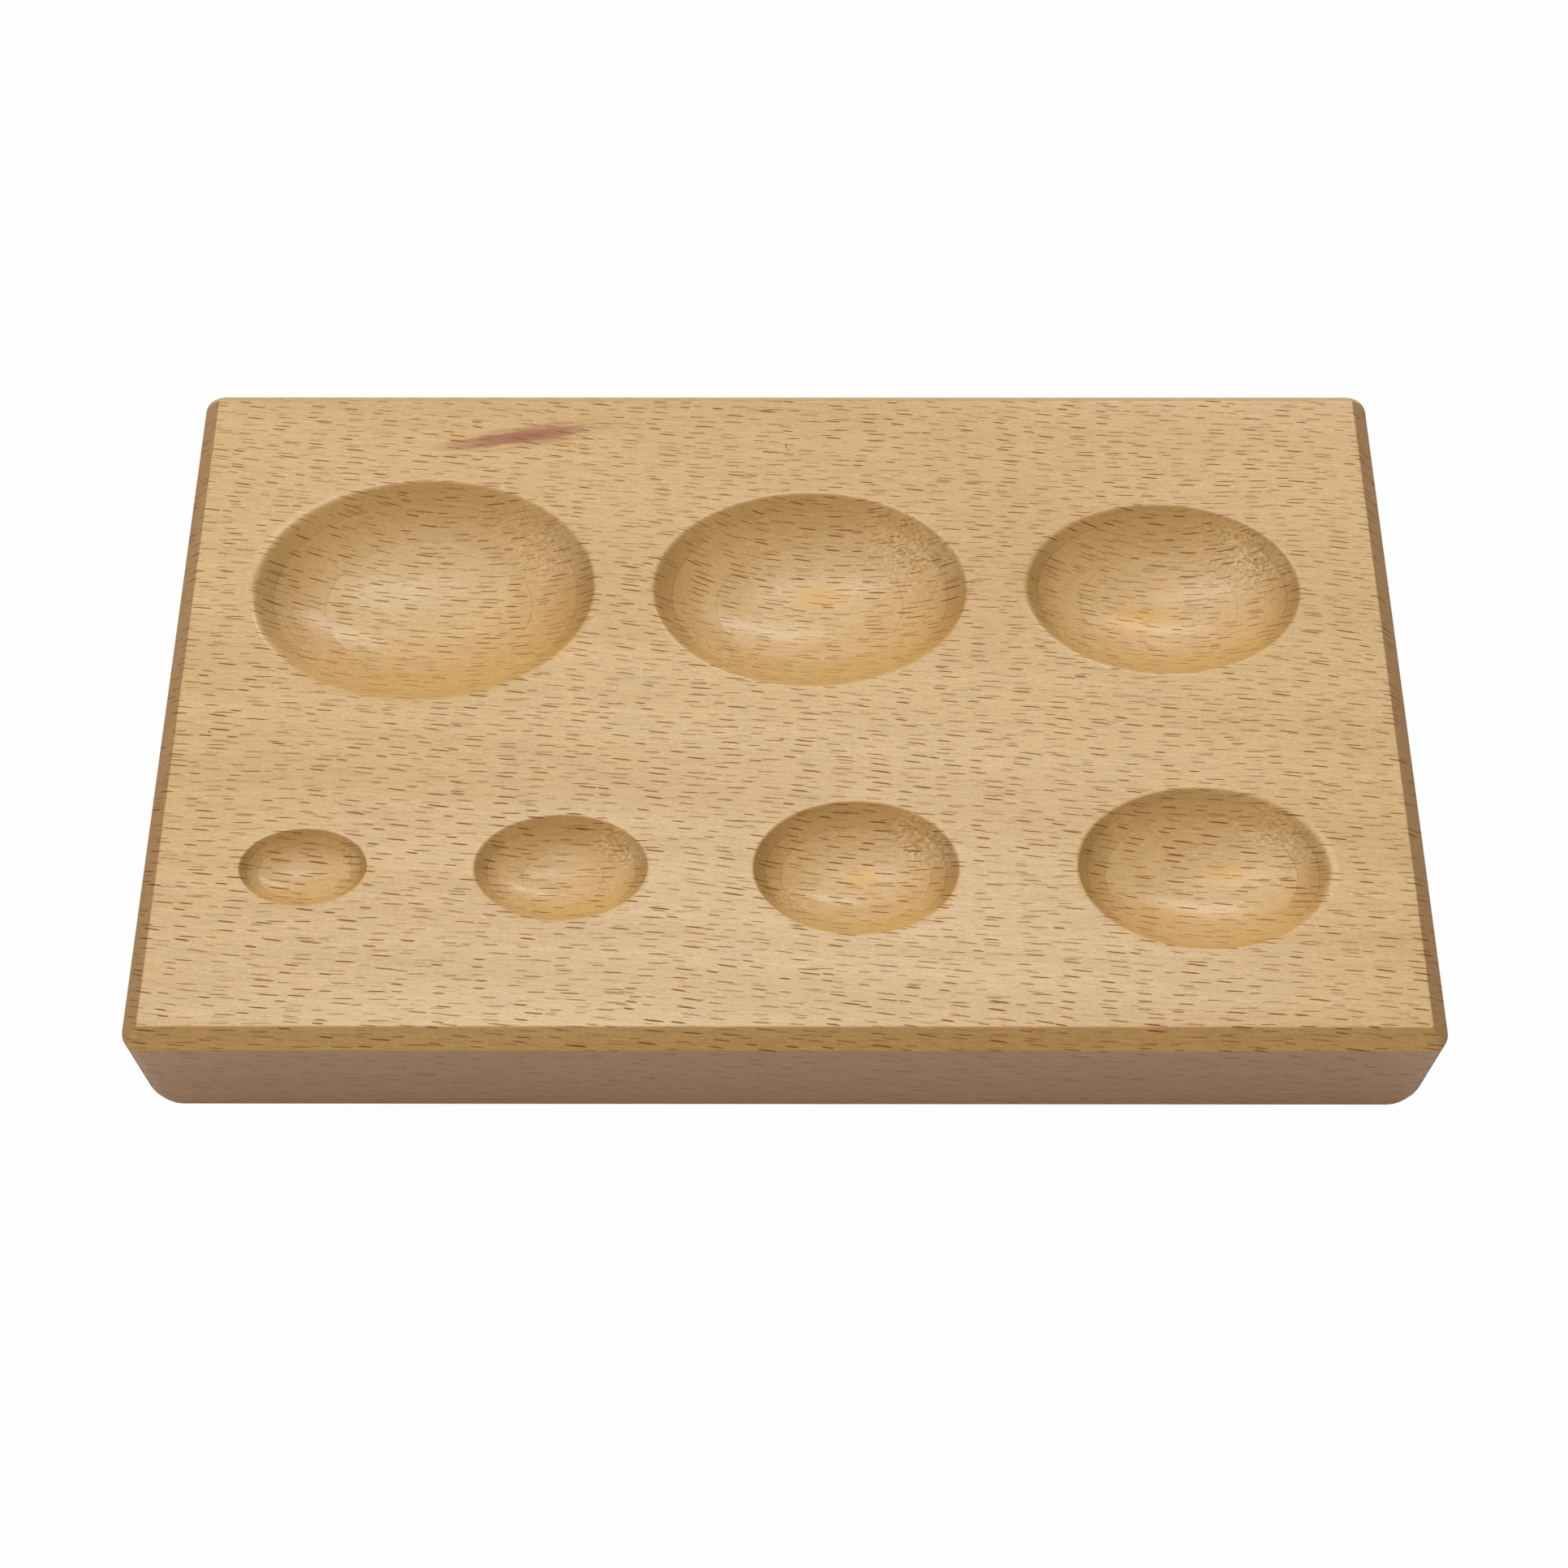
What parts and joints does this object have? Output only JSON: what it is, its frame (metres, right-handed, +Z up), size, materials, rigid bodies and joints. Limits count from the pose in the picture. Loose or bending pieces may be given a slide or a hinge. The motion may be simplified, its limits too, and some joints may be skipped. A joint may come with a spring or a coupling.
{
  "type": "egg holder tray",
  "caption": "Solid wooden tray with sloped top edges and egg-shaped hollows that shrink in size around a loop, for eggs lying on their sides.",
  "frame": {"origin": "middle of the flat underside", "axes": "+X along the grain and the long side, +Y from the small hollows to the large ones, +Z up out of the hollows"},
  "size_m": [0.3, 0.182, 0.0385],
  "materials": {
    "beech": "clear satin oil over flat-sawn beech with short dark flecks"
  },
  "bodies": {
    "root": {"tray_block": "beech"}
  },
  "joints": []
}
